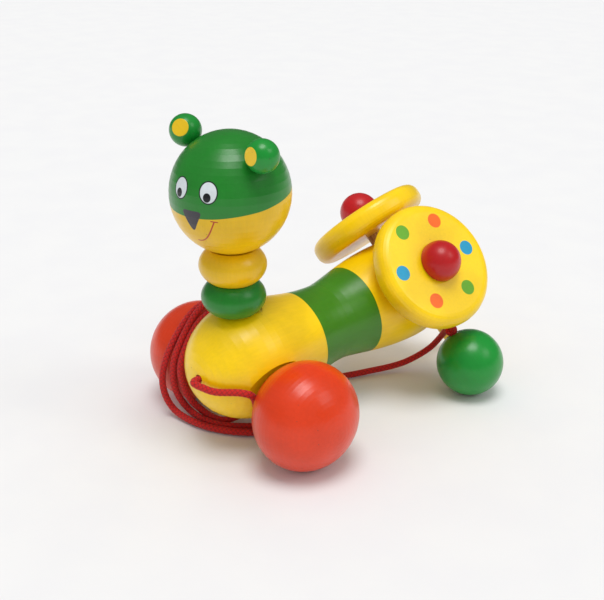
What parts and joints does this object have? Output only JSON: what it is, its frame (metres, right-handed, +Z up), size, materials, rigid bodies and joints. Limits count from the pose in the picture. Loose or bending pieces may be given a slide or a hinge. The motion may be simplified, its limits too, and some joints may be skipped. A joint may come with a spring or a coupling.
{
  "type": "pull along toy animal",
  "caption": "Turned wooden pull-along animal with ball wheels, bead neck, round painted head, spotted spinning discs on its back and a cord with a handle ball.",
  "frame": {"origin": "on the floor under the middle of the toy, measured without the cord and its handle ball", "axes": "+Z up, the toy faces -Y, +X towards its left side"},
  "size_m": [0.1148, 0.1575, 0.1327],
  "materials": {
    "wheel_paint": "orange gloss paint",
    "body_paint": "yellow gloss paint with a green band round the waist",
    "green_paint": "green gloss paint",
    "head_paint": "green over yellow gloss paint with a painted face",
    "bead_yellow": "yellow gloss paint",
    "disc_paint": "yellow gloss paint with six coloured spots",
    "cap_paint": "red gloss paint",
    "dowel": "bare birch",
    "cord_red": "braided cord"
  },
  "bodies": {
    "chassis": {"body": "body_paint", "neck_peg": "dowel", "disc_peg_left": "dowel", "disc_peg_right": "dowel", "disc_cap_left": "cap_paint", "disc_cap_right": "cap_paint", "tail_peg": "body_paint", "pull_cord": "cord_red", "handle_knot": "cord_red", "handle_ball": "green_paint"},
    "wheelset": {"front_axle": "dowel", "wheel_left": "wheel_paint", "wheel_right": "wheel_paint"},
    "bead_low": {"neck_bead_lower": "green_paint"},
    "bead_high": {"neck_bead_upper": "bead_yellow"},
    "head_group": {"head": "head_paint", "ear_left": "green_paint", "ear_right": "green_paint", "ear_peg_left": "dowel", "ear_peg_right": "dowel"},
    "disc_l": {"disc_left": "disc_paint"},
    "disc_r": {"disc_right": "disc_paint"}
  },
  "joints": [
    {"name": "wheel_spin", "type": "hinge", "parent": "chassis", "child": "wheelset", "pos_m": [0, -0.0483, 0.022], "axis": [1, 0, 0], "continuous": true},
    {"name": "bead_low_spin", "type": "hinge", "parent": "chassis", "child": "bead_low", "pos_m": [0, -0.0547, 0.06], "axis": [0, 0, 1], "continuous": true},
    {"name": "bead_high_spin", "type": "hinge", "parent": "chassis", "child": "bead_high", "pos_m": [0, -0.0547, 0.06], "axis": [0, 0, 1], "continuous": true},
    {"name": "head_turn", "type": "hinge", "parent": "chassis", "child": "head_group", "pos_m": [0, -0.0547, 0.06], "axis": [0, 0, 1], "continuous": true},
    {"name": "disc_left_spin", "type": "hinge", "parent": "chassis", "child": "disc_l", "pos_m": [0, 0.03616, 0.04133], "axis": [0.7771, -0.0658, 0.6259], "continuous": true},
    {"name": "disc_right_spin", "type": "hinge", "parent": "chassis", "child": "disc_r", "pos_m": [0, 0.04213, 0.04196], "axis": [-0.6536, -0.1653, 0.7386], "continuous": true}
  ]
}
